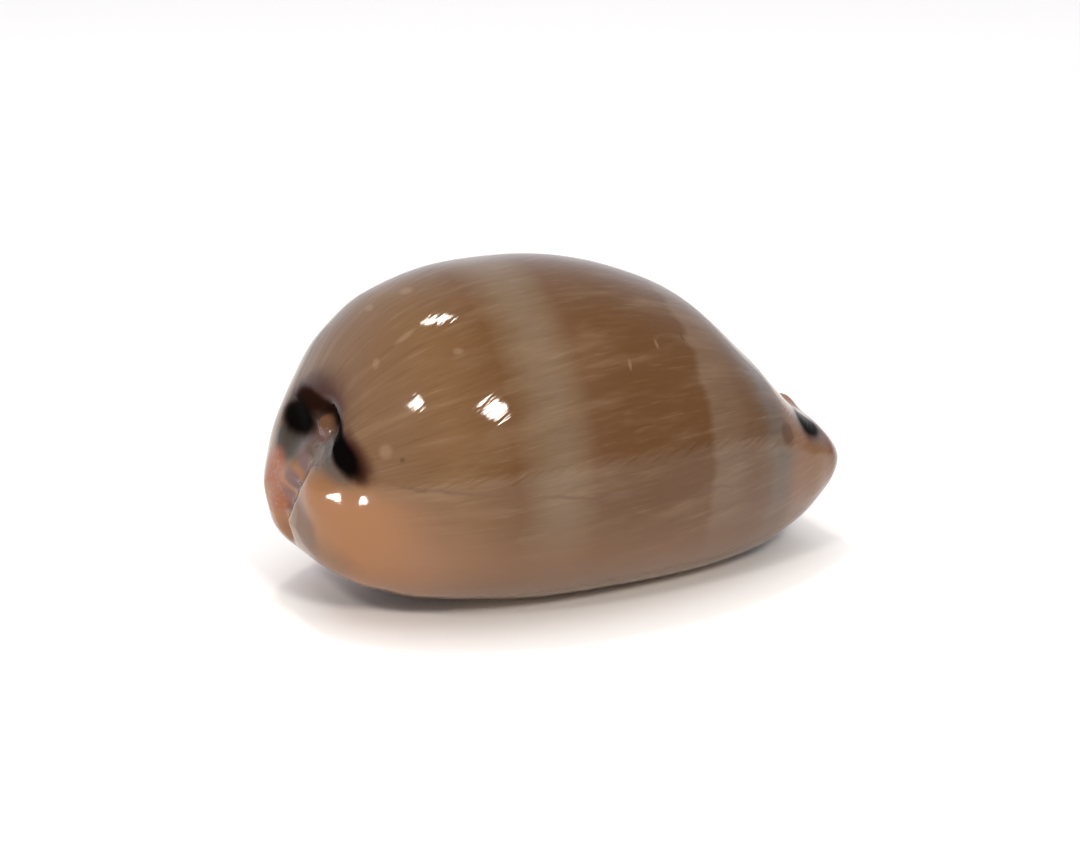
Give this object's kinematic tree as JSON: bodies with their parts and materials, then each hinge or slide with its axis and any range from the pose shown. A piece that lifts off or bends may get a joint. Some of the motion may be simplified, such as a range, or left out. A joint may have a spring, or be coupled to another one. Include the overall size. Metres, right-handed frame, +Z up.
{
  "type": "cowrie shell",
  "caption": "Glossy egg-shaped sea shell with a long toothed slit underneath, a pit at its blunt end and a notch at each end.",
  "frame": {"origin": "under the middle of the shell, on the surface that it rests on", "axes": "+X along the shell towards its narrow front end, -Y towards the outer lip, +Z up out of the back"},
  "size_m": [0.045, 0.0278, 0.0253],
  "materials": {
    "shell_enamel": "natural high gloss"
  },
  "bodies": {
    "root": {"shell": "shell_enamel"}
  },
  "joints": []
}
